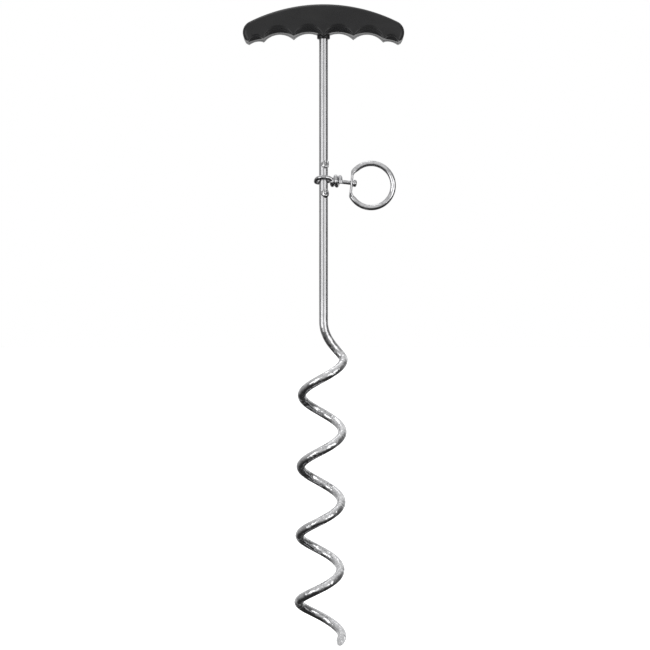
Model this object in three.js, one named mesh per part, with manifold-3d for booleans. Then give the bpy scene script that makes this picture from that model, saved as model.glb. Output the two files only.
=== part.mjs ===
// Spiral ground stake: a bent steel rod with a corkscrew, a moulded T grip and a captive swivel ring.
// Millimetres, +Z up along the stem, X along the grip, the grip's front face towards -Y.
// The origin lies on the stem's axis at the height of the ground point.
import * as THREE from 'three';
import { mergeVertices } from 'three/addons/utils/BufferGeometryUtils.js';
import Module from 'manifold-3d';

// ---- driving dimensions ------------------------------------------------------------------------
const gap = 0.3; // between pieces that touch

// steel rod
const rodRadius = 3;
const rodSides = 14;
const rodTopZ = 414.7;
const stemEndZ = 217; // where the straight stem starts to bend
const coilRadius = 13.8; // centreline of the corkscrew
const coilPitch = 49.5; // where the first turn passes its +X side
const coilTightening = 1.6; // the pitch shrinks by this in each turn
const coilLean = THREE.MathUtils.degToRad(0.87); // the corkscrew leans towards -X
const coilFirstSideZ = 191.7; // height at which the first turn passes its +X side
const coilStartAngle = 0;
const coilEndAngle = THREE.MathUtils.degToRad(-4 * 360 - 20);
const coilEndFlare = 2; // the last quarter turn opens outwards by this much
const coilStepsPerTurn = 22;
const bendSteps = 9;
const bendDrop = 14; // how far the bend keeps to the stem's line
const bendReach = 7; // how far it runs along the first turn's own direction
const pointSlope = THREE.MathUtils.degToRad(17); // how far the point's ground face looks upwards

// weld nuggets that keep the eye in place
const stopCentresZ = { lower_stop: 303, upper_stop: 322.5 };
const stopHalfHeight = 3.7;
const stopHalfWidth = 2.7;
const stopRise = 1.9; // above the rod's surface
const stopTurn = THREE.MathUtils.degToRad(38); // from the front towards +X

// crossbar inside the grip
const barRadius = 3;
const barLength = 64;
const barZ = rodTopZ + gap + barRadius;
const weldRadius = 4.8;
const weldHeight = 2.2;

// grip
const gripThickness = 20;
const gripTopZ = 428.9;
const gripTopRadius = 111;
const gripHalfWidth = 54;
const gripEndRadius = 8;
const gripEdgeRadius = 3;
const gripEndDip = THREE.MathUtils.degToRad(28); // how far the end's round runs below its widest point
const fingerCusps = [[0, 407.6], [20, 407.4], [40.1, 405.7], [49.7, 403.8]];
const fingerRises = [3.3, 3.7, 0.8]; // height of each groove above the line between its cusps
const scoopArches = [8.1, 8.1, 3.8]; // height of each groove's scoop on the faces
const scoopLand = 4; // half of the plain land left under each groove
const collarRadius = 4.4;
const collarBottomZ = 406.7;
const pegRadius = 1.3;
const pegLength = 3;
const pegPlaces = [[-20, 424.1], [20, 424.1], [-46, 415.5], [46, 415.5]];
const pocketSize = [9, 6.5]; // lightening pocket at each end
const pocketDepth = 6;
const pocketPlace = [40.5, 413.2];

// wire eye
const wireRadius = 1.4;
const wireSides = 12;
const shankSlope = THREE.MathUtils.degToRad(-7); // the shank dips towards the ring
const shankRoot = new THREE.Vector3(8.5, 0, 311.3);
const shankLength = 11.6;
const headRadius = 2.45;
const headLength = 2.4;
const wrapRadius = 3; // centreline of the tail wound round the shank
const wrapPitch = 2.95;
const wrapStart = [-2.96, 0]; // place along the shank, and angle
const wrapEndAngle = THREE.MathUtils.degToRad(740);
const wrapStepsPerTurn = 12;
const loopStepsPerPoint = 2;

// pull ring
const ringRadius = 14.85; // centreline
const ringWireRadius = 1.9;
const ringCentre = new THREE.Vector3(31.95, 0, 308.35);
const ringTilt = THREE.MathUtils.degToRad(5); // its flattened side stands nearly square to the shank
const flatOuter = 14.1; // outer face of the flattened side, from the ring's centre
const flatThickness = 1.9;
const flatWidth = 5.6;
const flatLength = 17;
const ringHoleRadius = 1.9;
const ringHoleUp = 1; // above the middle of the flattened side

// ---- materials ---------------------------------------------------------------------------------
function finish(colour, roughness, metalness) {
  return new THREE.MeshStandardMaterial({ color: colour, roughness, metalness });
}

const platedSteel = finish(0xc3c4c6, 0.24, 1);
const weldedSteel = finish(0xa3a4a6, 0.42, 1);
const plainSteel = finish(0x8d8f92, 0.45, 1);
const brightSteel = finish(0xd3d4d6, 0.14, 1);
const blackPlastic = finish(0x2b2b2d, 0.5, 0);

// ---- solids ------------------------------------------------------------------------------------
const wasm = await Module();
wasm.setup();

function solid(geometry) {
  const bare = geometry.clone();
  bare.deleteAttribute('normal');
  bare.deleteAttribute('uv');
  const merged = mergeVertices(bare, 1e-4);
  const triVerts = new Uint32Array(merged.index.array);
  const vertProperties = new Float32Array(merged.attributes.position.array);
  return new wasm.Manifold(new wasm.Mesh({ numProp: 3, vertProperties, triVerts }));
}

function geometryOf(body) {
  const { vertProperties, triVerts } = body.getMesh();
  const geometry = new THREE.BufferGeometry();
  geometry.setAttribute('position', new THREE.BufferAttribute(vertProperties, 3));
  geometry.setIndex(new THREE.BufferAttribute(triVerts, 1));
  geometry.computeVertexNormals();
  return geometry;
}

function piece(name, geometry, material) {
  const mesh = new THREE.Mesh(geometry, material);
  mesh.name = name;
  return mesh;
}

function circle(radius) {
  return new THREE.Shape().absarc(0, 0, radius, 0, 2 * Math.PI, false);
}

// A path that keeps its points as steps, so that straight stretches take one step.
class Route extends THREE.Curve {
  constructor(points) {
    super();
    this.points = points;
  }

  getPoint(t, target = new THREE.Vector3()) {
    const place = THREE.MathUtils.clamp(t, 0, 1) * (this.points.length - 1);
    const first = Math.min(Math.floor(place), this.points.length - 2);
    return target.lerpVectors(this.points[first], this.points[first + 1], place - first);
  }

  getUtoTmapping(u) {
    return u;
  }
}

function wireAlong(points, radius, sides) {
  return new THREE.ExtrudeGeometry(circle(radius), {
    steps: points.length - 1,
    curveSegments: sides / 2,
    extrudePath: new Route(points),
  });
}

// A round bar between two points.
function bar(from, to, radius, sides = 20) {
  const along = to.clone().sub(from);
  const geometry = new THREE.CylinderGeometry(radius, radius, along.length(), sides);
  const turn = new THREE.Quaternion().setFromUnitVectors(new THREE.Vector3(0, 1, 0), along.normalize());
  return geometry.applyQuaternion(turn).translate(...from.clone().add(to).multiplyScalar(0.5));
}

function block(size, centre) {
  return new THREE.BoxGeometry(...size).translate(...centre);
}

// ---- steel rod ---------------------------------------------------------------------------------
function coilPoint(angle) {
  const lastQuarter = THREE.MathUtils.smoothstep(coilEndAngle + Math.PI / 2 - angle, 0, Math.PI / 2);
  const radius = coilRadius + coilEndFlare * lastQuarter;
  const turns = angle / (2 * Math.PI);
  const drop = coilFirstSideZ - stemEndZ + coilPitch * turns + (coilTightening / 2) * turns ** 2;
  return new THREE.Vector3(radius * Math.cos(angle), radius * Math.sin(angle), drop)
    .applyAxisAngle(new THREE.Vector3(0, 1, 0), coilLean)
    .add(new THREE.Vector3(0, 0, stemEndZ));
}

function bendCurve() {
  const joins = coilPoint(coilStartAngle);
  const backUp = coilPoint(coilStartAngle + 0.01).sub(joins).normalize();
  return new THREE.CubicBezierCurve3(
    new THREE.Vector3(0, 0, stemEndZ),
    new THREE.Vector3(0, 0, stemEndZ - bendDrop),
    joins.clone().addScaledVector(backUp, bendReach),
    joins,
  );
}

function rodRoute() {
  const points = [new THREE.Vector3(0, 0, rodTopZ), ...bendCurve().getPoints(bendSteps)];
  const steps = Math.round(((coilStartAngle - coilEndAngle) / (2 * Math.PI)) * coilStepsPerTurn);
  for (let i = 1; i <= steps; i += 1) {
    points.push(coilPoint(THREE.MathUtils.lerp(coilStartAngle, coilEndAngle, i / steps)));
  }
  const along = points.at(-1).clone().sub(points.at(-2)).normalize();
  return [...points, points.at(-1).clone().addScaledVector(along, 2 * rodRadius)];
}

// All that lies in front of the slanted face which leaves the ground point at its lower edge.
function pointCutter(centre) {
  const size = 8 * rodRadius;
  const cutter = new THREE.BoxGeometry(size, size, size).translate(0, 0, size / 2);
  const outwards = new THREE.Vector3(0, -Math.cos(pointSlope), Math.sin(pointSlope));
  const turn = new THREE.Quaternion().setFromUnitVectors(new THREE.Vector3(0, 0, 1), outwards);
  return cutter.applyQuaternion(turn).translate(...centre);
}

function spiralRod() {
  const points = rodRoute();
  const rod = solid(wireAlong(points, rodRadius, rodSides));
  const ground = rod.subtract(solid(pointCutter(points.at(-2))));
  return piece('spiral_rod', geometryOf(ground), platedSteel);
}

function stop(name) {
  const nugget = new THREE.SphereGeometry(1, 14, 10)
    .scale(stopHalfWidth, stopRise + rodRadius / 2, stopHalfHeight)
    .translate(0, -rodRadius / 2, 0)
    .rotateZ(stopTurn)
    .translate(0, 0, stopCentresZ[name]);
  const reach = 2 * stopHalfHeight;
  const room = bar(
    new THREE.Vector3(0, 0, stopCentresZ[name] - reach),
    new THREE.Vector3(0, 0, stopCentresZ[name] + reach),
    rodRadius + gap,
  );
  return piece(name, geometryOf(solid(nugget).subtract(solid(room))), weldedSteel);
}

// ---- inside the grip ---------------------------------------------------------------------------
function crossbar() {
  const half = new THREE.Vector3(barLength / 2, 0, barZ);
  const other = new THREE.Vector3(-barLength / 2, 0, barZ);
  return piece('crossbar', bar(other, half, barRadius), plainSteel);
}

function crossbarWeld() {
  const inner = rodRadius + gap;
  const foot = rodTopZ - weldHeight;
  const outline = [[inner, foot], [weldRadius, rodTopZ - weldHeight / 3], [weldRadius, rodTopZ],
    [inner, rodTopZ], [inner, foot]];
  const profile = outline.map(([x, z]) => new THREE.Vector2(x, z));
  const geometry = new THREE.LatheGeometry(profile, 20).rotateX(Math.PI / 2);
  return piece('crossbar_weld', geometryOf(solid(geometry)), weldedSteel);
}

// ---- grip --------------------------------------------------------------------------------------
// The circle through two cusps whose top stands the given rise above the line between them.
function grooveCircle([x0, z0], [x1, z1], rise) {
  const half = Math.hypot(x1 - x0, z1 - z0) / 2;
  const radius = (half * half + rise * rise) / (2 * rise);
  const down = (radius - rise) / (2 * half);
  const centre = [(x0 + x1) / 2 + (z1 - z0) * down, (z0 + z1) / 2 - (x1 - x0) * down];
  return { centre, radius };
}

// The top and the two ends, down to where the underside starts.
function gripCrown(shape) {
  const topCentreZ = gripTopZ - gripTopRadius;
  const endX = gripHalfWidth - gripEndRadius;
  const endZ = topCentreZ + Math.sqrt((gripTopRadius - gripEndRadius) ** 2 - endX ** 2);
  const shoulder = Math.atan2(endZ - topCentreZ, endX);
  shape.absarc(endX, endZ, gripEndRadius, -gripEndDip, shoulder, false);
  shape.absarc(0, topCentreZ, gripTopRadius, shoulder, Math.PI - shoulder, false);
  shape.absarc(-endX, endZ, gripEndRadius, Math.PI - shoulder, Math.PI + gripEndDip, false);
}

function gripOutline() {
  const shape = new THREE.Shape();
  gripCrown(shape);
  const cusps = [...fingerCusps.slice(1).reverse().map(([x, z]) => [-x, z]), ...fingerCusps];
  const rises = [...fingerRises.slice().reverse(), ...fingerRises];
  shape.lineTo(...cusps[0]);
  rises.forEach((rise, i) => {
    const { centre, radius } = grooveCircle(cusps[i], cusps[i + 1], rise);
    const from = Math.atan2(cusps[i][1] - centre[1], cusps[i][0] - centre[0]);
    const to = Math.atan2(cusps[i + 1][1] - centre[1], cusps[i + 1][0] - centre[0]);
    shape.absarc(...centre, radius, from, to, true);
  });
  return shape;
}

// Extrudes an outline drawn in X and Z through the grip's thickness.
function throughGrip(shape, edge) {
  return new THREE.ExtrudeGeometry(shape, {
    depth: gripThickness - 2 * edge,
    curveSegments: 12,
    bevelEnabled: edge > 0,
    bevelThickness: edge,
    bevelSize: edge,
    bevelOffset: -edge,
    bevelSegments: 3,
  })
    .translate(0, 0, -gripThickness / 2 + edge)
    .rotateX(Math.PI / 2);
}

// The grip without its grooves, its long edges rounded.
function roundedCrown() {
  const shape = new THREE.Shape();
  gripCrown(shape);
  shape.lineTo(-gripHalfWidth, gripTopZ - 2 * gripHalfWidth);
  shape.lineTo(gripHalfWidth, gripTopZ - 2 * gripHalfWidth);
  return throughGrip(shape, gripEdgeRadius);
}

// The ball that scoops out one groove's edge on the front face; side is -1 there and +1 at the back.
function scoopBall(i, mirror, side) {
  const [x0, z0] = fingerCusps[i];
  const [x1, z1] = fingerCusps[i + 1];
  const half = (x1 - x0) / 2;
  const arch = scoopArches[i];
  const faceRadius = (half * half + arch * arch) / (2 * arch);
  const centreZ = (z0 + z1) / 2 + arch - faceRadius;
  const above = (z0 + z1) / 2 + fingerRises[i] - centreZ;
  const depth = gripThickness / 2 - scoopLand;
  const outside = (faceRadius ** 2 - above ** 2 - depth ** 2) / (2 * depth);
  const radius = Math.hypot(faceRadius, outside);
  return new THREE.SphereGeometry(radius, 20, 14)
    .translate(mirror * (x0 + x1) / 2, side * (gripThickness / 2 + outside), centreZ);
}

function gripBody() {
  let body = solid(throughGrip(gripOutline(), 0)).intersect(solid(roundedCrown()));
  for (const side of [-1, 1]) {
    for (const mirror of [-1, 1]) {
      for (let i = 0; i < fingerRises.length; i += 1) {
        body = body.subtract(solid(scoopBall(i, mirror, side)));
      }
    }
  }
  const collarTop = new THREE.Vector3(0, 0, barZ - barRadius);
  const collarFoot = new THREE.Vector3(0, 0, collarBottomZ);
  return body.add(solid(bar(collarFoot, collarTop, collarRadius, 24)));
}

// The room inside for the rod's top, its weld and the crossbar.
function gripChannels() {
  const foot = new THREE.Vector3(0, 0, collarBottomZ - 1);
  const top = new THREE.Vector3(0, 0, barZ);
  const weldFoot = new THREE.Vector3(0, 0, rodTopZ - weldHeight - gap);
  const reach = barLength / 2 + gap;
  const left = new THREE.Vector3(-reach, 0, barZ);
  const right = new THREE.Vector3(reach, 0, barZ);
  return solid(bar(foot, top, rodRadius + gap))
    .add(solid(bar(weldFoot, top, weldRadius + gap)))
    .add(solid(bar(left, right, barRadius + gap)));
}

// side is -1 for the front shell, which has the pegs, and +1 for the rear one, which has the sockets.
function gripShell(name, side, whole) {
  const half = gripThickness / 2;
  const keep = block([3 * gripHalfWidth, half, half * 8], [0, side * (half + gap) / 2, barZ]);
  let shell = whole.intersect(solid(keep)).subtract(gripChannels());
  for (const x of [-pocketPlace[0], pocketPlace[0]]) {
    const pocket = block([pocketSize[0], 2 * pocketDepth, pocketSize[1]], [x, 0, pocketPlace[1]]);
    shell = shell.subtract(solid(pocket));
  }
  for (const [x, z] of pegPlaces) {
    const radius = side < 0 ? pegRadius : pegRadius + gap;
    const reach = side < 0 ? pegLength : pegLength + gap;
    const root = new THREE.Vector3(x, side < 0 ? -pegLength : -gap, z);
    const peg = solid(bar(root, new THREE.Vector3(x, reach, z), radius, 12));
    shell = side < 0 ? shell.add(peg) : shell.subtract(peg);
  }
  return piece(name, geometryOf(shell), blackPlastic);
}

// ---- wire eye ----------------------------------------------------------------------------------
const shankAlong = new THREE.Vector3(Math.cos(shankSlope), 0, Math.sin(shankSlope));
const shankUp = new THREE.Vector3(-Math.sin(shankSlope), 0, Math.cos(shankSlope));

// A place given along the shank, towards the back and above the shank's axis.
function byShank(along, back, up) {
  return shankRoot.clone()
    .addScaledVector(shankAlong, along)
    .add(new THREE.Vector3(0, back, 0))
    .addScaledVector(shankUp, up);
}

// The wire's own path round the stem: from the shank round the back, and forward again to the front.
function loopPoints() {
  const places = [
    [-1.4, 0, 0], [-3, 0.9, 0.1],
  ].map((place) => byShank(...place));
  const round = [
    [3.9, 3.4, 311.7], [1.6, 4.9, 311.3], [-1.4, 5, 310.8], [-3.8, 3.6, 310.6], [-5.1, 1.2, 310.9],
    [-5, -1.4, 311.9], [-3.8, -3.6, 312.9], [-1.5, -5, 313.4], [1.5, -5, 313.4], [4, -3.9, 313],
  ].map((place) => new THREE.Vector3(...place));
  return [...places, ...round];
}

function wrapPoints() {
  const [startAlong, startAngle] = wrapStart;
  const turns = (wrapEndAngle - startAngle) / (2 * Math.PI);
  const steps = Math.round(turns * wrapStepsPerTurn);
  return Array.from({ length: steps + 1 }, (_, i) => {
    const angle = THREE.MathUtils.lerp(startAngle, wrapEndAngle, i / steps);
    const along = startAlong + wrapPitch * turns * (i / steps);
    return byShank(along, -wrapRadius * Math.cos(angle), -wrapRadius * Math.sin(angle));
  });
}

// Rounds a route given by a few points.
function smooth(points) {
  const curve = new THREE.CatmullRomCurve3(points, false, 'centripetal');
  return curve.getPoints((points.length - 1) * loopStepsPerPoint);
}

// One wire: its headed shank, the loop round the stem and the tail wound back round the shank.
function swivelEye() {
  const shankEnd = byShank(shankLength + headLength / 2, 0, 0);
  const [wrapFirst, wrapSecond, ...wrapRest] = wrapPoints();
  const loop = smooth([byShank(0, 0, 0), ...loopPoints(), wrapFirst, wrapSecond]);
  const wire = solid(wireAlong([shankEnd, ...loop, ...wrapRest], wireRadius, wireSides));
  const headFrom = byShank(shankLength, 0, 0);
  const head = solid(bar(headFrom, byShank(shankLength + headLength, 0, 0), headRadius, 16));
  return piece('swivel_eye', geometryOf(wire.add(head)), brightSteel);
}

// ---- pull ring ---------------------------------------------------------------------------------
function pullRing() {
  const far = 3 * ringRadius;
  const round = new THREE.TorusGeometry(ringRadius, ringWireRadius, 12, 40).rotateX(Math.PI / 2);
  const beyond = block([far, far, far], [-flatOuter - far / 2, 0, 0]);
  const flatMiddle = flatThickness / 2 - flatOuter;
  const flat = block([flatThickness, flatWidth, flatLength], [flatMiddle, 0, 0]);
  const holeFrom = new THREE.Vector3(-flatOuter - 1, 0, ringHoleUp);
  const holeTo = new THREE.Vector3(flatThickness + 1 - flatOuter, 0, ringHoleUp);
  const ring = solid(round)
    .subtract(solid(beyond))
    .add(solid(flat))
    .subtract(solid(bar(holeFrom, holeTo, ringHoleRadius, 16)));
  const geometry = geometryOf(ring).rotateY(ringTilt).translate(...ringCentre);
  return piece('pull_ring', geometry, brightSteel);
}

// ---- the whole stake ---------------------------------------------------------------------------
const stake = new THREE.Group();
stake.add(spiralRod(), stop('lower_stop'), stop('upper_stop'));
stake.add(crossbar(), crossbarWeld());
const whole = gripBody();
stake.add(gripShell('grip_front_shell', -1, whole), gripShell('grip_rear_shell', 1, whole));
stake.add(swivelEye(), pullRing());

export default stake;
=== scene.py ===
import math

import bmesh
import bpy
from mathutils import Matrix, Vector
from mathutils.geometry import interpolate_bezier


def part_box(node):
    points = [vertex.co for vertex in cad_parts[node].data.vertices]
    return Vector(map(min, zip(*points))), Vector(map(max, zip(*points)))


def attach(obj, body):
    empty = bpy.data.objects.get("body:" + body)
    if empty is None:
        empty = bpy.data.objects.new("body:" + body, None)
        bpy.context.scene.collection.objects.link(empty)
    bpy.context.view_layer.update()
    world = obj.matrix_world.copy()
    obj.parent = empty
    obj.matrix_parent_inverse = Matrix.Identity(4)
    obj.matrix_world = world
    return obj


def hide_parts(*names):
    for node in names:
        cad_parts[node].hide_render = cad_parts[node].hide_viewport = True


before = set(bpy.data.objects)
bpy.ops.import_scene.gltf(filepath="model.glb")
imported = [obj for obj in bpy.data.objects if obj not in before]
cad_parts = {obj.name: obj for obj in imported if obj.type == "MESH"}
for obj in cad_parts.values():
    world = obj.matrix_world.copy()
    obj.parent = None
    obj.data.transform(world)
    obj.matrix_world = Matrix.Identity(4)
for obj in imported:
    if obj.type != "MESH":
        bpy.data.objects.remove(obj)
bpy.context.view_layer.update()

MM = 0.001
FRONT = Vector((0, -1, 0))

# ---- driving dimensions ---------------------------------------------------------------------------
# steel rod
ROD_RADIUS = 3 * MM
ROD_TOP_Z = 414.7 * MM
STEM_END_Z = 217 * MM
COIL_RADIUS = 13.8 * MM
COIL_PITCH = 49.5 * MM
COIL_TIGHTENING = 1.6 * MM
COIL_LEAN = math.radians(0.87)
COIL_FIRST_SIDE_Z = 191.7 * MM
COIL_START = 0
COIL_END = math.radians(-4 * 360 - 20)
COIL_END_FLARE = 2 * MM
COIL_STEPS = 230
BEND_STEPS = 24
BEND_DROP = 14 * MM
BEND_REACH = 7 * MM
POINT_BEVEL = 0.25 * MM
POINT_SLOPE = math.radians(17)

# weld nuggets
NUGGET_TURN = math.radians(38)
NUGGET_HALF_HEIGHT = 3.8 * MM
NUGGET_HALF_WIDTH = 2.8 * MM
NUGGET_DEPTH = 3.5 * MM
CRATER_RADIUS = 2.2 * MM
CRATER_STEP = 0.65 * MM
CRATER_RISE = 1 * MM
CRATER_RIPPLES = (1, 0.75, 0.5)  # shares of the crater's radius
NUGGET_SINK = 1.9 * MM  # its middle lies this far inside the rod's surface
LUMP_SIZE = 1.7 * MM
LUMP_HEIGHT = 0.4 * MM

# grip
GRIP_HALF_THICKNESS = 10 * MM
GRIP_TOP_Z = 428.9 * MM
GRIP_TOP_RADIUS = 111 * MM
GRIP_HALF_WIDTH = 54 * MM
GRIP_END_RADIUS = 8 * MM
GRIP_END_DIP = math.radians(28)
GRIP_EDGE_RADIUS = 3 * MM
GRIP_FOOT_Z = 399.8 * MM  # below the grooves, where the uncut block ends
FINGER_CUSPS = [(0, 407.6), (20, 407.4), (40.1, 405.7), (49.7, 403.8)]
FINGER_RISES = [3.3, 3.7, 0.8]
GRIP_HEEL = (53.1, 405.2)  # where each end's round runs into the line to the last cusp
SCOOP_ARCHES = [8.1, 8.1, 3.8]
SCOOP_STEPS = [(1, 8.4), (0.74, 4.6)]  # share of the arch, and what is left of the thickness there
COLLAR_RADIUS = 4.4 * MM
COLLAR_FOOT_Z = 406.7 * MM
COLLAR_BEVEL = 0.5 * MM
PARTING_GAP = 0.04 * MM  # half of it, on each shell
ROOM = 0.3 * MM  # round what lies inside the grip
BAR_Z = 418 * MM
BAR_RADIUS = 3 * MM
BAR_HALF_LENGTH = 32 * MM
WELD_RADIUS = 4.8 * MM
WELD_FOOT_Z = 412.5 * MM
PEG_RADIUS = 1.3 * MM
PEG_LENGTH = 3 * MM
PEG_PLACES = [(-20, 424.1), (20, 424.1), (-46, 415.5), (46, 415.5)]
POCKET_SIZE = (9 * MM, 12 * MM, 6.5 * MM)
POCKET_PLACES = [(-40.5, 413.2), (40.5, 413.2)]
HEEL_WEDGE = (60 * MM, 30 * MM, 10 * MM)  # trims the grip's ends
GRIP_GRAIN = 0.36 * MM  # size of the faces that the finished shells are made of

# wire eye
WIRE_RADIUS = 1.4 * MM
SHANK_SLOPE = math.radians(-7)
SHANK_ROOT = Vector((8.5, 0, 311.3)) * MM
SHANK_LENGTH = 11.6 * MM
SHANK_LEAD = [(0, 0, 0), (-1.4, 0, 0), (-3, 0.9, 0.1)]  # along the shank, back and up, in mm
HEAD_RADIUS = 2.45 * MM
HEAD_PROFILE = [  # how much each step widens the head, and how far on it is, in mm
    (0.88 * HEAD_RADIUS / WIRE_RADIUS, 0), (1.12, 0.35), (1, 1.05),
    (0.9, 0.5), (0.75, 0.3), (0.6, 0.2),
]
WRAP_RADIUS = 3 * MM
WRAP_PITCH = 2.95 * MM
WRAP_START = -2.96 * MM
WRAP_END_ANGLE = math.radians(740)
LOOP_PLACES = [
    (3.9, 3.4, 311.7), (1.6, 4.9, 311.3), (-1.4, 5, 310.8), (-3.8, 3.6, 310.6), (-5.1, 1.2, 310.9),
    (-5, -1.4, 311.9), (-3.8, -3.6, 312.9), (-1.5, -5, 313.4), (1.5, -5, 313.4), (4, -3.9, 313),
]

# pull ring
RING_RADIUS = 14.85 * MM
RING_WIRE_RADIUS = 1.9 * MM
RING_CENTRE = Vector((31.95, 0, 308.35)) * MM
RING_TILT = math.radians(5)
FLAT_MIDDLE = 13.15 * MM  # from the ring's centre to the middle of its flattened side
FLAT_THICKNESS = 1.9 * MM
FLAT_WIDTH = 5.6 * MM
RING_HOLE_RADIUS = 2.1 * MM
RING_HOLE_UP = 1 * MM
RING_HOLE_REACH = 3 * MM
CHORD_REACH = 1.25  # the round part stops this many half chords from the chord's middle
CHORD_SHARES = (0.86, 0.55, 0.28, 0, -0.28, -0.55, -0.86)  # places along half the chord
SQUEEZE_STEPS = 8
SQUEEZE_REACH = 8.2 * MM
SQUEEZE_INSET = 0.36 * MM  # each step of the squeeze reaches this much less far

# how finely things are made
HAIR = 0.001 * MM  # closer than this is the same place
SMALL_TURN = 0.01
TOOL_SIDES = 48
GROOVE_SIDES = 256
COLLAR_SIDES = 96
PEG_SIDES = 32
HOLE_SIDES = 64
BALL_SEGMENTS, BALL_RINGS = 96, 64
NUGGET_SEGMENTS, NUGGET_RINGS = 40, 24
END_STEPS = 24
CROWN_STEPS = 96
RING_STEPS = 110
WRAP_STEPS = 26

# camera
CAMERA_PLACE = (1 * MM, -1.2, 0.2146)
CAMERA_LENS = 98.9
CAMERA_SENSOR = 36


# ---- workshop -------------------------------------------------------------------------------------
def pick(piece):
    """Makes a piece the only selected one."""
    bpy.ops.object.select_all(action="DESELECT")
    piece.select_set(True)
    bpy.context.view_layer.objects.active = piece


def added(operator, **settings):
    """Adds a primitive while nothing else is selected, and hands it back."""
    bpy.ops.object.select_all(action="DESELECT")
    operator(**settings)
    return bpy.context.object


def settle(piece, name, body, slot, material, *stands_for):
    """Finishes a piece: its name, its place in its mesh, its material, and the body that it rides on."""
    pick(piece)
    bpy.ops.object.transform_apply(location=True, rotation=True, scale=True)
    piece.name = piece.data.name = name
    piece.data.materials.clear()
    piece.data.materials.append(material)
    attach(piece, body)
    if stands_for:
        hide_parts(*stands_for)
    return piece


def modify(piece, kind, **settings):
    """Puts a modifier on a piece and applies it."""
    pick(piece)
    modifier = piece.modifiers.new(kind.title(), kind)
    for setting, value in settings.items():
        setattr(modifier, setting, value)
    bpy.ops.object.modifier_apply(modifier=modifier.name)


def cut(piece, tool, operation="DIFFERENCE"):
    """Cuts a piece with a solid tool, or joins the two, and clears the tool away."""
    modify(piece, "BOOLEAN", object=tool, operation=operation, solver="EXACT")
    bpy.data.objects.remove(tool)


def edit(piece, faces=None, edges=None):
    """Opens a piece for editing with only the wanted faces or edges selected, or else all of it."""
    pick(piece)
    bpy.ops.object.mode_set(mode="EDIT")
    if faces is None and edges is None:
        bpy.ops.mesh.select_mode(type="VERT")
        bpy.ops.mesh.select_all(action="SELECT")
        return
    bpy.ops.mesh.select_mode(type="FACE" if faces else "EDGE")
    bpy.ops.mesh.select_all(action="DESELECT")
    mesh = bmesh.from_edit_mesh(piece.data)
    for part in mesh.faces if faces else mesh.edges:
        part.select_set(bool((faces or edges)(part)))
    bmesh.update_edit_mesh(piece.data)


def done():
    """Closes the piece that is open for editing."""
    bpy.ops.object.mode_set(mode="OBJECT")


def slide(x, y, z):
    """Extrudes what is selected by a distance."""
    bpy.ops.mesh.extrude_region_move(TRANSFORM_OT_translate={"value": (x, y, z)})


def soften(piece, degrees):
    """Shades a piece smooth, except across edges sharper than an angle."""
    pick(piece)
    bpy.ops.object.shade_smooth_by_angle(angle=math.radians(degrees))


def rod_tool(radius, start, end, sides=TOOL_SIDES):
    """A round solid between two points, for cutting or joining."""
    along = end - start
    return added(
        bpy.ops.mesh.primitive_cylinder_add,
        vertices=sides, radius=radius, depth=along.length, location=(start + end) / 2,
        rotation=along.to_track_quat("Z", "Y").to_euler(),
    )


def block_tool(size, centre):
    """A square solid, for cutting or joining."""
    return added(bpy.ops.mesh.primitive_cube_add, size=1, scale=size, location=centre)


def eased(points, steps):
    """A finer route through the same points, without corners."""
    route = []
    last = len(points) - 1
    for i in range(last):
        before, start, end, after = (points[max(i - 1, 0)], points[i],
                                     points[i + 1], points[min(i + 2, last)])
        lead, tail = (end - before) / 6, (after - start) / 6
        route += interpolate_bezier(start, start + lead, end - tail, end, steps + 1)[:-1]
    return [*route, points[last]]


def bent_wire(route, radius, roundness, closed=False):
    """A round bar drawn as a path with a round section, then made a mesh."""
    wire = added(bpy.ops.curve.primitive_nurbs_path_add, location=(0, 0, 0))
    line = wire.data.splines[0]
    line.type = "POLY"
    line.points.add(len(route) - len(line.points))
    for point, place in zip(line.points, route):
        point.co = (*place, 1)
    line.use_cyclic_u = closed
    wire.data.bevel_depth = radius
    wire.data.bevel_resolution = roundness
    wire.data.use_fill_caps = not closed
    bpy.ops.object.convert(target="MESH")
    wire = bpy.context.object
    edit(wire)
    bpy.ops.mesh.remove_doubles(threshold=HAIR)
    bpy.ops.mesh.normals_make_consistent(inside=False)
    done()
    return wire


# ---- finishes -------------------------------------------------------------------------------------
def set_stops(ramp, stops):
    """Gives a ramp its greys or colours as (place, value) stops."""
    while len(ramp.elements) < len(stops):
        ramp.elements.new(0.5)
    for element, (at, value) in zip(ramp.elements, stops):
        element.position = at
        element.color = (value, value, value, 1) if isinstance(value, float) else (*value, 1)


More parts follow.
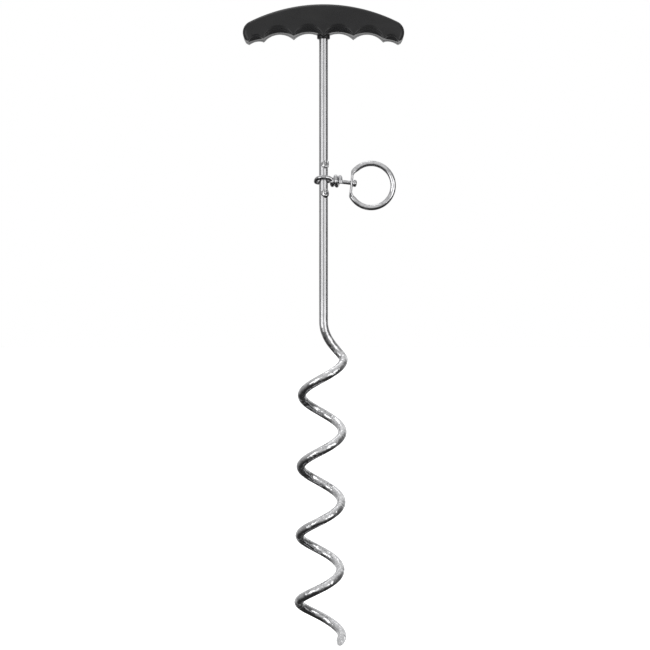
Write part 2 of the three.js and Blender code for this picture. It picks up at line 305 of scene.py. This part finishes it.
class Finish:
    """A material being mixed: its nodes, with short ways to add one and to wire it up."""

    def __init__(self, name):
        self.material = bpy.data.materials.new(name)
        self.material.use_nodes = True
        self.nodes = self.material.node_tree.nodes
        self.links = self.material.node_tree.links
        self.surface = self.nodes["Principled BSDF"]
        self.place = self.nodes.new("ShaderNodeTexCoord").outputs["Object"]

    def fill(self, node, values):
        for socket, value in values.items():
            if isinstance(value, bpy.types.NodeSocket):
                self.links.new(value, node.inputs[socket])
            else:
                node.inputs[socket].default_value = value
        return node

    def shader(self, **values):
        self.fill(self.surface, {name.replace("_", " "): value for name, value in values.items()})

    def stretched(self, scale):
        """Object coordinates drawn out along an axis."""
        node = self.nodes.new("ShaderNodeMapping")
        return self.fill(node, {"Vector": self.place, "Scale": scale}).outputs["Vector"]

    def noise(self, scale, detail=3, roughness=0.5, distortion=0, vector=None):
        node = self.nodes.new("ShaderNodeTexNoise")
        values = {"Vector": vector or self.place, "Scale": scale, "Detail": detail,
                  "Roughness": roughness, "Distortion": distortion}
        return self.fill(node, values).outputs["Fac"]

    def cells(self, scale):
        node = self.nodes.new("ShaderNodeTexVoronoi")
        return self.fill(node, {"Vector": self.place, "Scale": scale}).outputs["Distance"]

    def ramp(self, factor, *stops):
        """Maps a factor to greys or colours given as (place, value) stops."""
        node = self.nodes.new("ShaderNodeValToRGB")
        set_stops(node.color_ramp, stops)
        self.links.new(factor, node.inputs["Fac"])
        return node.outputs["Color"]

    def height(self, low, high):
        """0 below one height and 1 above another, along the stem."""
        parts = self.nodes.new("ShaderNodeSeparateXYZ")
        self.links.new(self.place, parts.inputs[0])
        node = self.nodes.new("ShaderNodeMapRange")
        values = {"Value": parts.outputs["Z"], "From Min": low, "From Max": high}
        return self.fill(node, values).outputs["Result"]

    def combine(self, operation, a, b):
        node = self.nodes.new("ShaderNodeMath")
        node.operation = operation
        return self.fill(node, {0: a, 1: b}).outputs[0]

    def blended(self, factor, a, b):
        node = self.nodes.new("ShaderNodeMix")
        node.data_type = "RGBA"
        return self.fill(node, {"Factor": factor, 6: a, 7: b}).outputs[2]

    def bump(self, height, depth, under=None):
        """Relief of a real depth in metres, laid over coarser relief where there is some."""
        node = self.nodes.new("ShaderNodeBump")
        values = {"Height": height, "Distance": depth}
        if under:
            values["Normal"] = under
        return self.fill(node, values).outputs["Normal"]


def plated_rod_finish():
    """Bright plating over drawn rod: draw lines down the stem, dents and scuffs where it was bent."""
    mix = Finish("plated_rod")
    on_stem = mix.height(0.19, 0.235)
    lines = mix.noise(1, 4, 0.6, vector=mix.stretched((2600, 2600, 14)))
    dents = mix.noise(170, 2, 0.45, 0.4)
    scuffs = mix.noise(520, 6, 0.7, 1.2)
    bright = mix.ramp(scuffs, (0.32, (0.55, 0.555, 0.57)), (0.58, (0.88, 0.88, 0.89)))
    worn = mix.ramp(scuffs, (0.3, (0.5, 0.5, 0.51)), (0.6, (0.62, 0.62, 0.63)))
    tint = mix.blended(on_stem, bright, worn)
    relief = mix.bump(mix.combine("MULTIPLY", lines, on_stem), 0.003 * MM)
    off_stem = mix.combine("SUBTRACT", 1.0, on_stem)
    relief = mix.bump(mix.combine("MULTIPLY", dents, off_stem), 1.1 * MM, relief)
    relief = mix.bump(mix.combine("MULTIPLY", scuffs, off_stem), 0.06 * MM, relief)
    dulled = mix.combine("MULTIPLY", on_stem, 0.14)
    rough = mix.combine("ADD", mix.ramp(scuffs, (0.35, 0.1), (0.7, 0.24)), dulled)
    mix.shader(Base_Color=tint, Metallic=1.0, Roughness=rough, Normal=relief)
    return mix.material


def plated_weld_finish():
    """Plated weld metal: lumpy, darker in the hollows of its lumps and lighter on their crests, with
    small bright beads.
    """
    mix = Finish("plated_weld")
    lumps = mix.noise(620, 4, 0.6, 0.8)
    beads = mix.cells(900)
    # the same noise sets the relief, so the tint is darker where the lumps are low and lighter where
    # they are high
    tint = mix.ramp(lumps, (0.36, (0.14, 0.14, 0.145)), (0.47, (0.6, 0.6, 0.61)),
                    (0.62, (0.92, 0.92, 0.92)))
    relief = mix.bump(beads, 0.03 * MM, mix.bump(lumps, 0.2 * MM))
    rough = mix.ramp(lumps, (0.35, 0.3), (0.65, 0.1))
    mix.shader(Base_Color=tint, Metallic=1.0, Roughness=rough, Normal=relief)
    return mix.material


def wire_finish(name, dull, bright):
    """Plated wire with faint rubbing marks and dull specks."""
    mix = Finish(name)
    rubs = mix.noise(700, 5, 0.65, 0.6)
    waves = mix.noise(160, 2, 0.4)
    tint = mix.ramp(rubs, (0.32, dull), (0.56, bright))
    relief = mix.bump(rubs, 0.02 * MM, mix.bump(waves, 0.25 * MM))
    rough = mix.ramp(rubs, (0.4, 0.07), (0.75, 0.22))
    mix.shader(Base_Color=tint, Metallic=1.0, Roughness=rough, Normal=relief)
    return mix.material


def grip_finish():
    """Black moulded plastic: a fine spark-eroded grain, faint flow marks and pale dust in places."""
    mix = Finish("black_grip")
    grain = mix.noise(2600, 4, 0.6)
    flow = mix.noise(38, 3, 0.5, 0.8, vector=mix.stretched((1, 1, 2.2)))
    dust = mix.noise(900, 8, 0.75)
    shade = mix.ramp(flow, (0.35, (0.0095, 0.0095, 0.01)), (0.68, (0.014, 0.014, 0.0145)))
    specks = mix.ramp(dust, (0.62, 0.0), (0.78, 0.4))
    colour = mix.blended(specks, shade, (0.06, 0.06, 0.062, 1))
    relief = mix.bump(grain, 0.045 * MM, mix.bump(flow, 0.12 * MM))
    rough = mix.ramp(flow, (0.3, 0.24), (0.7, 0.34))
    mix.shader(Base_Color=colour, Roughness=rough, Normal=relief, IOR=1.44)
    return mix.material


def drawn_bar_finish():
    """Unplated drawn bar: lines along it, a little oil and rust."""
    mix = Finish("drawn_bar")
    lines = mix.noise(1, 4, 0.6, vector=mix.stretched((14, 2400, 2400)))
    stains = mix.noise(130, 5, 0.6, 0.5)
    tint = mix.ramp(stains, (0.4, (0.36, 0.36, 0.37)), (0.62, (0.3, 0.22, 0.16)))
    rough = mix.ramp(stains, (0.35, 0.3), (0.65, 0.62))
    mix.shader(Base_Color=tint, Metallic=0.9, Roughness=rough, Normal=mix.bump(lines, 0.03 * MM))
    return mix.material


def bare_weld_finish():
    """A raw weld bead: ripples, scale and straw and blue heat tints."""
    mix = Finish("bare_weld")
    ripples = mix.noise(480, 4, 0.55, 1.5)
    tint = mix.ramp(ripples, (0.35, (0.1, 0.11, 0.16)), (0.5, (0.3, 0.24, 0.16)),
                    (0.68, (0.42, 0.41, 0.4)))
    rough = mix.ramp(ripples, (0.35, 0.6), (0.65, 0.35))
    mix.shader(Base_Color=tint, Metallic=0.9, Roughness=rough, Normal=mix.bump(ripples, 0.4 * MM))
    return mix.material


PLATED_ROD = plated_rod_finish()
PLATED_WELD = plated_weld_finish()
RING_WIRE = wire_finish("bright_wire", (0.5, 0.5, 0.515), (0.84, 0.84, 0.85))
EYE_WIRE = wire_finish("dull_wire", (0.3, 0.3, 0.31), (0.72, 0.72, 0.73))
BLACK_GRIP = grip_finish()


# ---- steel rod ------------------------------------------------------------------------------------
def coil_point(angle):
    quarter = math.pi / 2
    ending = min(max((COIL_END + quarter - angle) / quarter, 0), 1)
    radius = COIL_RADIUS + COIL_END_FLARE * ending * ending * (3 - 2 * ending)
    turns = angle / math.tau
    drop = COIL_FIRST_SIDE_Z - STEM_END_Z + COIL_PITCH * turns + COIL_TIGHTENING / 2 * turns ** 2
    upright = Vector((radius * math.cos(angle), radius * math.sin(angle), drop))
    return Matrix.Rotation(COIL_LEAN, 3, "Y") @ upright + Vector((0, 0, STEM_END_Z))


def make_rod():
    joins = coil_point(COIL_START)
    back_up = (coil_point(COIL_START + SMALL_TURN) - joins).normalized()
    stem_end = Vector((0, 0, STEM_END_Z))
    bend = interpolate_bezier(stem_end, stem_end - Vector((0, 0, BEND_DROP)),
                              joins + back_up * BEND_REACH, joins, BEND_STEPS)
    coil = [coil_point(COIL_START + (COIL_END - COIL_START) * i / COIL_STEPS)
            for i in range(1, COIL_STEPS + 1)]
    tip = coil[-1]
    overrun = tip + (tip - coil[-2]).normalized() * 2 * ROD_RADIUS
    rod = bent_wire([Vector((0, 0, ROD_TOP_Z)), *bend, *coil, overrun], ROD_RADIUS, 14)
    edit(rod, faces=lambda face: (face.calc_center_median() - tip).length < 5 * ROD_RADIUS)
    outwards = (0, -math.cos(POINT_SLOPE), math.sin(POINT_SLOPE))
    bpy.ops.mesh.bisect(plane_co=tip, plane_no=outwards, use_fill=True, clear_outer=True)
    bpy.ops.mesh.bevel(offset=POINT_BEVEL, segments=2, affect="EDGES")
    done()
    soften(rod, 40)
    return settle(rod, "rod_with_corkscrew", "stake", "plated_steel", PLATED_ROD, "spiral_rod")


def make_nugget(name, node):
    """An oval plug of weld on the stem, with the crater that the arc leaves in its crown."""
    low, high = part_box(node)
    middle = (low.z + high.z) / 2
    outwards = Matrix.Rotation(NUGGET_TURN, 3, "Z") @ FRONT
    root = outwards * (ROD_RADIUS - NUGGET_SINK) + Vector((0, 0, middle))
    nugget = added(
        bpy.ops.mesh.primitive_uv_sphere_add,
        segments=NUGGET_SEGMENTS, ring_count=NUGGET_RINGS, radius=1, location=root,
        rotation=(0, 0, NUGGET_TURN), scale=(NUGGET_HALF_WIDTH, NUGGET_DEPTH, NUGGET_HALF_HEIGHT),
    )
    bpy.ops.object.transform_apply(location=True, rotation=True, scale=True)
    crown = root + outwards * NUGGET_DEPTH + Vector((0, 0, CRATER_RISE))
    for share in CRATER_RIPPLES:
        reach = CRATER_RADIUS * share
        edit(nugget, faces=lambda face: (face.calc_center_median() - crown).length < reach)
        bpy.ops.transform.translate(value=-outwards * CRATER_STEP)
        done()
    modify(nugget, "SUBSURF", levels=1, render_levels=1)
    lumps = bpy.data.textures.new(name + "_lumps", "CLOUDS")
    lumps.noise_scale = LUMP_SIZE
    modify(nugget, "DISPLACE", texture=lumps, texture_coords="LOCAL", strength=LUMP_HEIGHT,
           mid_level=0.5)
    pick(nugget)
    bpy.ops.object.shade_smooth()
    return settle(nugget, name, "stake", "welded_steel", PLATED_WELD, node)


# ---- grip -----------------------------------------------------------------------------------------
def groove_circle(low_cusp, high_cusp, rise):
    """Centre and radius of the circle through two cusps that rises this far above their line."""
    (x0, z0), (x1, z1) = low_cusp, high_cusp
    half = math.hypot(x1 - x0, z1 - z0) / 2
    radius = (half * half + rise * rise) / (2 * rise)
    down = (radius - rise) / (2 * half)
    return ((x0 + x1) / 2 + (z1 - z0) * down, (z0 + z1) / 2 - (x1 - x0) * down), radius


def arc_on(centre, angle, steps):
    """Carries the last point of the outline round a centre, anticlockwise as seen from the front."""
    bpy.ops.mesh.spin(steps=steps, angle=angle, center=centre, axis=(0, 1, 0))


def crown_block():
    """The grip before its grooves are cut: its outline, pulled through its thickness, edges rounded."""
    top_centre_z = GRIP_TOP_Z - GRIP_TOP_RADIUS
    end_x = GRIP_HALF_WIDTH - GRIP_END_RADIUS
    end_z = top_centre_z + math.sqrt((GRIP_TOP_RADIUS - GRIP_END_RADIUS) ** 2 - end_x ** 2)
    shoulder = math.atan2(end_z - top_centre_z, end_x)
    front = -GRIP_HALF_THICKNESS
    arc_foot = (end_x + GRIP_END_RADIUS * math.cos(GRIP_END_DIP),
                end_z - GRIP_END_RADIUS * math.sin(GRIP_END_DIP))
    tail = arc_foot[1] - GRIP_FOOT_Z
    block = added(bpy.ops.mesh.primitive_plane_add, size=MM, location=(arc_foot[0], front, arc_foot[1]))
    edit(block)
    bpy.ops.mesh.merge(type="CENTER")
    arc_on((end_x, front, end_z), shoulder + GRIP_END_DIP, END_STEPS)
    arc_on((0, front, top_centre_z), math.pi - 2 * shoulder, CROWN_STEPS)
    arc_on((-end_x, front, end_z), shoulder + GRIP_END_DIP, END_STEPS)
    inwards = tail * math.tan(GRIP_END_DIP)
    slide(inwards, 0, -tail)
    slide(2 * (arc_foot[0] - inwards), 0, 0)
    bpy.ops.mesh.select_all(action="SELECT")
    bpy.ops.mesh.edge_face_add()
    slide(0, 2 * GRIP_HALF_THICKNESS, 0)
    bpy.ops.mesh.select_all(action="SELECT")
    bpy.ops.mesh.remove_doubles(threshold=HAIR)
    bpy.ops.mesh.normals_make_consistent(inside=False)
    done()
    bpy.ops.object.transform_apply(location=True, rotation=True, scale=True)
    rim = 2 * GRIP_HALF_THICKNESS - 10 * HAIR
    edit(block, edges=lambda edge: abs(edge.verts[0].co.y + edge.verts[1].co.y) > rim)
    bpy.ops.mesh.bevel(offset=GRIP_EDGE_RADIUS, segments=7, affect="EDGES", clamp_overlap=False)
    done()
    return block


def cut_heel(block, side):
    """Trims an end of the block from its round to the last cusp."""
    heel, cusp = (Vector((x * side, 0, z)) * MM for x, z in (GRIP_HEEL, FINGER_CUSPS[-1]))
    run = (heel - cusp) * side
    below = cusp + run.cross(FRONT).normalized() * (HEEL_WEDGE[2] / 2)
    wedge = block_tool(HEEL_WEDGE, below)
    wedge.rotation_euler = (0, -math.atan2(run.z, run.x), 0)
    cut(block, wedge)


def cut_finger_place(block, i, side):
    """Cuts one groove right through, and rolls its front edge over in two steps."""
    low_cusp, high_cusp = FINGER_CUSPS[i], FINGER_CUSPS[i + 1]
    (x, z), radius = groove_circle(low_cusp, high_cusp, FINGER_RISES[i])
    reach = 2 * GRIP_HALF_THICKNESS
    centre = Vector((x * side, 0, z)) * MM
    cut(block, rod_tool(radius * MM, centre + FRONT * reach, centre - FRONT * reach, GROOVE_SIDES))
    half = (high_cusp[0] - low_cusp[0]) / 2
    middle_z = (low_cusp[1] + high_cusp[1]) / 2
    for share, land in SCOOP_STEPS:
        arch = SCOOP_ARCHES[i] * share
        face_radius = (half * half + arch * arch) / (2 * arch)
        centre_z = middle_z + arch - face_radius
        above = middle_z + FINGER_RISES[i] - centre_z
        depth = GRIP_HALF_THICKNESS / MM - land
        outside = (face_radius ** 2 - above ** 2 - depth ** 2) / (2 * depth)
        ball_place = Vector(((low_cusp[0] + high_cusp[0]) / 2 * side, -outside, centre_z)) * MM
        ball = added(
            bpy.ops.mesh.primitive_uv_sphere_add, segments=BALL_SEGMENTS, ring_count=BALL_RINGS,
            radius=math.hypot(face_radius, outside) * MM,
            location=ball_place + FRONT * GRIP_HALF_THICKNESS,
        )
        cut(block, ball)


def front_half():
    """The front half of the grip, still solid."""
    block = crown_block()
    for side in (-1, 1):
        cut_heel(block, side)
        for i in range(len(FINGER_RISES)):
            cut_finger_place(block, i, side)
    collar = rod_tool(COLLAR_RADIUS, Vector((0, 0, COLLAR_FOOT_Z)), Vector((0, 0, BAR_Z)), COLLAR_SIDES)
    foot = (COLLAR_FOOT_Z - BAR_Z) / 2 + HAIR
    edit(collar, edges=lambda edge: all(vert.co.z < foot for vert in edge.verts))
    bpy.ops.mesh.bevel(offset=COLLAR_BEVEL, segments=3, affect="EDGES")
    done()
    cut(block, collar, "UNION")
    span = 3 * GRIP_HALF_WIDTH
    keep = block_tool((span, 2 * GRIP_HALF_THICKNESS, span),
                      (0, -PARTING_GAP - GRIP_HALF_THICKNESS, BAR_Z))
    cut(block, keep, "INTERSECT")
    return block


def hollow_out(shell):
    """Makes the room for the rod's top, its weld and the crossbar, and the pocket at each end."""
    bar_end = Vector((BAR_HALF_LENGTH + ROOM, 0, 0))
    middle = Vector((0, 0, BAR_Z))
    foot = Vector((0, 0, COLLAR_FOOT_Z - MM))
    cut(shell, rod_tool(ROD_RADIUS + ROOM, foot, middle))
    cut(shell, rod_tool(WELD_RADIUS + ROOM, Vector((0, 0, WELD_FOOT_Z - ROOM)), middle))
    cut(shell, rod_tool(BAR_RADIUS + ROOM, middle - bar_end, middle + bar_end))
    for x, z in POCKET_PLACES:
        cut(shell, block_tool(POCKET_SIZE, Vector((x, 0, z)) * MM))


def finish_shell(shell, name, node):
    """Gives the shell an even mesh, its sharp edges eased as a mould leaves them."""
    modify(shell, "REMESH", mode="VOXEL", voxel_size=GRIP_GRAIN, use_smooth_shade=True)
    modify(shell, "SMOOTH", factor=0.5, iterations=3)
    pick(shell)
    bpy.ops.object.shade_smooth()
    return settle(shell, name, "stake", "black_plastic", BLACK_GRIP, node)


def make_grip():
    front = front_half()
    pick(front)
    bpy.ops.object.duplicate()
    rear = bpy.context.object
    rear.scale = (1, -1, 1)
    bpy.ops.object.transform_apply(location=True, rotation=True, scale=True)
    edit(rear)
    bpy.ops.mesh.normals_make_consistent(inside=False)
    done()
    hollow_out(front)
    hollow_out(rear)
    for x, z in PEG_PLACES:
        root = Vector((x, 0, z)) * MM + FRONT * PEG_LENGTH
        end = Vector((x, 0, z)) * MM - FRONT * PEG_LENGTH
        cut(front, rod_tool(PEG_RADIUS, root, end, PEG_SIDES), "UNION")
        cut(rear, rod_tool(PEG_RADIUS + ROOM, root, end - FRONT * ROOM, PEG_SIDES))
    finish_shell(front, "grip_front", "grip_front_shell")
    finish_shell(rear, "grip_rear", "grip_rear_shell")


# ---- wire eye -------------------------------------------------------------------------------------
SHANK_ALONG = Vector((math.cos(SHANK_SLOPE), 0, math.sin(SHANK_SLOPE)))
SHANK_UP = Vector((-math.sin(SHANK_SLOPE), 0, math.cos(SHANK_SLOPE)))


def by_shank(along, back=0.0, up=0.0):
    """A place given along the shank, towards the back and above the shank's middle."""
    return SHANK_ROOT + SHANK_ALONG * along - FRONT * back + SHANK_UP * up


def wrap_places():
    """The tail wound round the shank, starting across its front."""
    for i in range(WRAP_STEPS + 1):
        angle = WRAP_END_ANGLE * i / WRAP_STEPS
        along = WRAP_START + WRAP_PITCH * angle / math.tau
        yield by_shank(along, -WRAP_RADIUS * math.cos(angle), -WRAP_RADIUS * math.sin(angle))


def make_eye():
    places = [by_shank(*(distance * MM for distance in lead)) for lead in SHANK_LEAD]
    places += [Vector(place) * MM for place in LOOP_PLACES]
    shank_end = by_shank(SHANK_LENGTH)
    route = [shank_end, *eased([*places, *wrap_places()], 5)]
    eye = bent_wire(route, WIRE_RADIUS, 10)
    edit(eye, faces=lambda face: face.normal.dot(SHANK_ALONG) > 0.9 and
         (face.calc_center_median() - shank_end).length < WIRE_RADIUS)
    bpy.ops.mesh.dissolve_faces()
    place = shank_end
    for spread, step in HEAD_PROFILE:
        slide(*(SHANK_ALONG * step * MM))
        place = place + SHANK_ALONG * step * MM
        bpy.ops.transform.resize(value=(spread,) * 3, center_override=place)
    done()
    soften(eye, 50)
    return settle(eye, "wire_eye", "eye", "bright_steel", EYE_WIRE, "swivel_eye")


# ---- pull ring ------------------------------------------------------------------------------------
def ring_route():
    """The ring's middle line: most of a circle, and a chord across its side next to the shank."""
    half_chord = math.acos(FLAT_MIDDLE / RING_RADIUS)
    start = math.pi + half_chord * CHORD_REACH
    sweep = math.tau - 2 * CHORD_REACH * half_chord
    arc = [start + sweep * i / RING_STEPS for i in range(RING_STEPS + 1)]
    around = [Vector((math.cos(a), 0, math.sin(a))) * RING_RADIUS for a in arc]
    end_z = RING_RADIUS * math.sin(half_chord)
    chord = [Vector((-FLAT_MIDDLE, 0, end_z * share)) for share in CHORD_SHARES]
    return [*around[:-1], *eased([around[-1], *chord, around[0]], 4)[:-1]]


def make_ring():
    ring = bent_wire(ring_route(), RING_WIRE_RADIUS, 12, closed=True)
    middle = Vector((-FLAT_MIDDLE, 0, 0))
    squeeze = (FLAT_THICKNESS / (2 * RING_WIRE_RADIUS)) ** (1 / SQUEEZE_STEPS)
    spread = (FLAT_WIDTH / (2 * RING_WIRE_RADIUS)) ** (1 / SQUEEZE_STEPS)
    for i in range(SQUEEZE_STEPS):
        reach = SQUEEZE_REACH - SQUEEZE_INSET * i
        edit(ring, faces=lambda face: face.calc_center_median().x < 0 and
             abs(face.calc_center_median().z) < reach)
        bpy.ops.transform.resize(value=(squeeze, spread, 1), center_override=middle)
        done()
    hole_middle = middle + Vector((0, 0, RING_HOLE_UP))
    reach = Vector((RING_HOLE_REACH, 0, 0))
    cut(ring, rod_tool(RING_HOLE_RADIUS, hole_middle - reach, hole_middle + reach, HOLE_SIDES))
    soften(ring, 40)
    ring.rotation_euler = (0, RING_TILT, 0)
    ring.location = RING_CENTRE
    return settle(ring, "ring", "ring", "bright_steel", RING_WIRE, "pull_ring")


# ---- the stake ------------------------------------------------------------------------------------
make_rod()
make_nugget("lower_nugget", "lower_stop")
make_nugget("upper_nugget", "upper_stop")
make_grip()
make_eye()
make_ring()
for node, material in (("crossbar", drawn_bar_finish()), ("crossbar_weld", bare_weld_finish())):
    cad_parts[node].data.materials.clear()
    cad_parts[node].data.materials.append(material)


# ---- floor, light and camera ----------------------------------------------------------------------
def make_floor():
    floor = added(bpy.ops.mesh.primitive_plane_add, size=30, location=(0, 0, -0.02 * MM))
    bpy.ops.object.transform_apply(location=True, rotation=True, scale=True)
    floor.name = floor.data.name = "floor"
    mix = Finish("pale_floor")
    mottle = mix.noise(6, 4)
    mix.shader(Base_Color=mix.ramp(mottle, (0.3, 0.86), (0.7, 0.9)), Roughness=0.8,
               Emission_Color=(1, 1, 1, 1), Emission_Strength=0.9)
    floor.data.materials.append(mix.material)
    floor.visible_glossy = False


def make_softbox(name, place, aim, width, height, power):
    light = added(bpy.ops.object.light_add, type="AREA", location=place)
    light.name = name
    light.data.shape = "RECTANGLE"
    light.data.size = width
    light.data.size_y = height
    light.data.energy = power
    light.rotation_euler = (Vector(aim) - Vector(place)).to_track_quat("-Z", "Y").to_euler()
    light.visible_camera = False


def make_room():
    """The studio: white to look at, and graded for what the steel mirrors."""
    world = bpy.data.worlds.new("studio")
    bpy.context.scene.world = world
    world.use_nodes = True
    nodes, links = world.node_tree.nodes, world.node_tree.links
    nodes.clear()

    def node(kind, **inputs):
        made = nodes.new(kind)
        for socket, value in inputs.items():
            links.new(value, made.inputs[socket])
        return made

    def ramp(factor, *stops):
        made = node("ShaderNodeValToRGB", Fac=factor)
        set_stops(made.color_ramp, stops)
        return made.outputs["Color"]

    def half_range(socket):
        made = nodes.new("ShaderNodeMapRange")
        links.new(socket, made.inputs["Value"])
        made.inputs["From Min"].default_value = -1
        return made.outputs["Result"]

    def mixed(blend, a, b):
        made = nodes.new("ShaderNodeMix")
        made.data_type = "RGBA"
        made.blend_type = blend
        made.inputs["Factor"].default_value = 1
        links.new(a, made.inputs[6])
        links.new(b, made.inputs[7])
        return made.outputs[2]

    direction = nodes.new("ShaderNodeTexCoord").outputs["Generated"]
    axes = node("ShaderNodeSeparateXYZ", Vector=direction).outputs
    upward = ramp(half_range(axes["Z"]), (0.0, 0.025), (0.16, 0.035), (0.37, 0.34), (0.48, 0.6),
                  (0.85, 0.66))
    sideways = ramp(half_range(axes["X"]), (0.0, 0.55), (0.25, 1.0), (0.72, 1.0), (0.97, 0.22))
    rising = nodes.new("ShaderNodeVectorMath")
    rising.operation = "DOT_PRODUCT"
    links.new(direction, rising.inputs[0])
    rising.inputs[1].default_value = (0, 1, 0.35)
    behind = ramp(half_range(rising.outputs["Value"]), (0.74, 0.0), (0.83, 0.28), (0.93, 0.8))
    graded = mixed("LIGHTEN", mixed("MULTIPLY", upward, sideways), behind)
    seen = nodes.new("ShaderNodeBackground")
    mirrored = node("ShaderNodeBackground", Color=graded)
    seen.inputs["Color"].default_value = (1, 1, 1, 1)
    path = nodes.new("ShaderNodeLightPath")
    choice = nodes.new("ShaderNodeMixShader")
    links.new(path.outputs["Is Camera Ray"], choice.inputs[0])
    links.new(mirrored.outputs[0], choice.inputs[1])
    links.new(seen.outputs[0], choice.inputs[2])
    links.new(choice.outputs[0], nodes.new("ShaderNodeOutputWorld").inputs["Surface"])


def make_camera():
    camera = added(bpy.ops.object.camera_add, location=CAMERA_PLACE, rotation=(math.pi / 2, 0, 0))
    camera.data.lens = CAMERA_LENS
    camera.data.sensor_width = CAMERA_SENSOR
    bpy.context.scene.camera = camera


make_floor()
make_room()
make_softbox("left_softbox", (-0.86, -0.97, 0.26), (0, 0, 0.2), 0.85, 0.85, 3.2)
make_softbox("right_softbox", (0.9, -0.93, 0.26), (0, 0, 0.2), 0.95, 0.85, 3.2)
make_softbox("top_softbox", (-0.15, 0.1, 1.5), (0, 0, 0.3), 0.9, 0.7, 2)
make_camera()
bpy.context.scene.view_settings.view_transform = "Standard"
